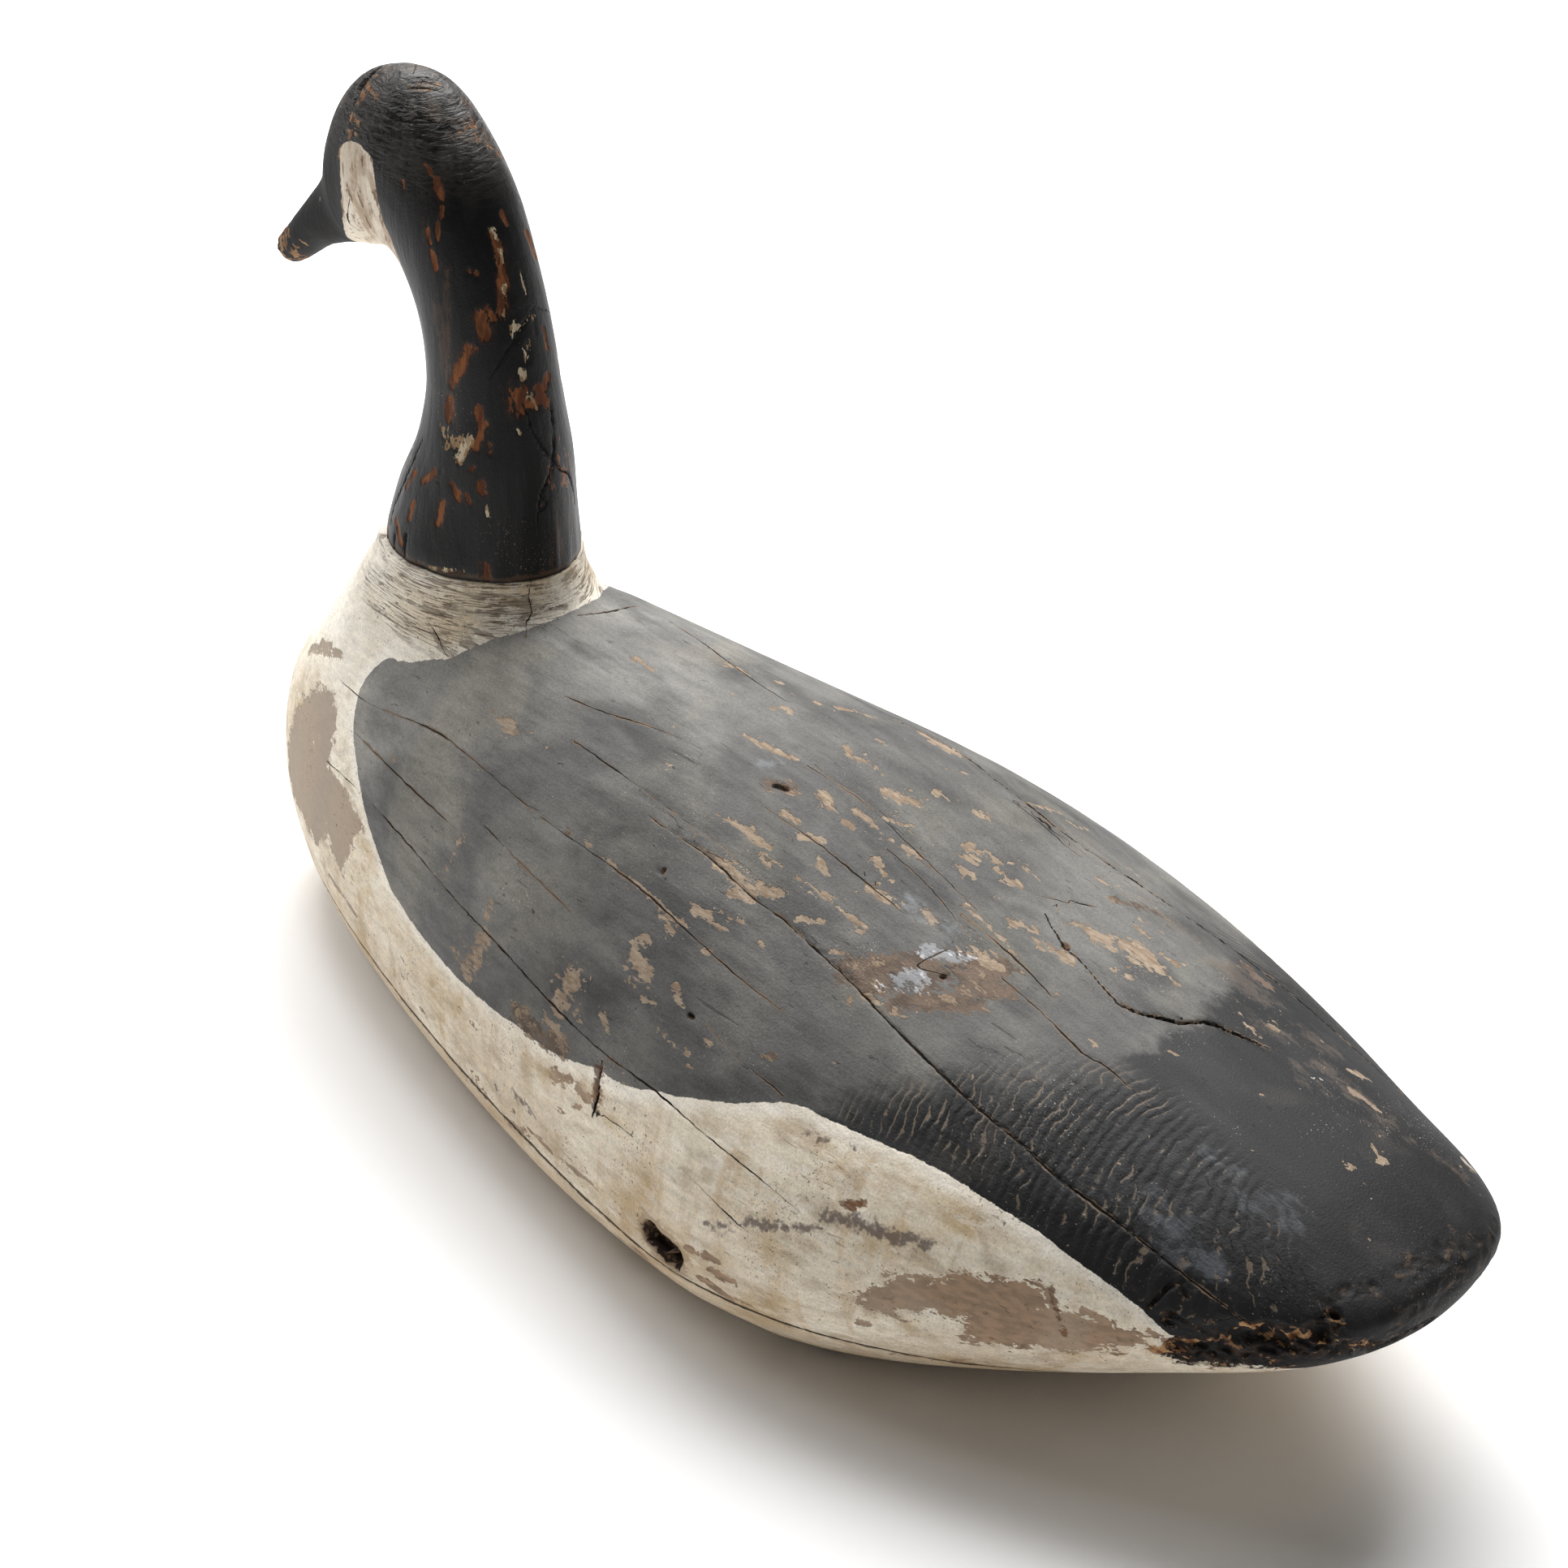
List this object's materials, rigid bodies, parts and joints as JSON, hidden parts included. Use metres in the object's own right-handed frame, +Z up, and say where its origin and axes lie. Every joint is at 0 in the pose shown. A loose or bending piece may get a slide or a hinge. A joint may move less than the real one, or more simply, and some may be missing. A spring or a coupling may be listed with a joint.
{
  "type": "goose decoy",
  "caption": "Life-size carved and painted wooden goose decoy: round-backed body on a bottom board and an upright neck with a drooping bill, with worn paint and a broken tail edge.",
  "frame": {"origin": "below the middle of the whole length, on the flat underside", "axes": "+X towards the bill, +Y to the goose's left, +Z up"},
  "size_m": [0.6216, 0.2654, 0.3807],
  "materials": {
    "body_paint": "old paint: grey back, cream breast and sides, black tail, worn to the wood and cracked",
    "board_paint": "worn cream paint over bare grey-brown wood",
    "neck_paint": "black paint with cream cheek patches, worn through to orange-brown wood"
  },
  "bodies": {
    "root": {"body_upper": "body_paint", "body_lower": "board_paint", "neck_and_head": "neck_paint"}
  },
  "joints": []
}
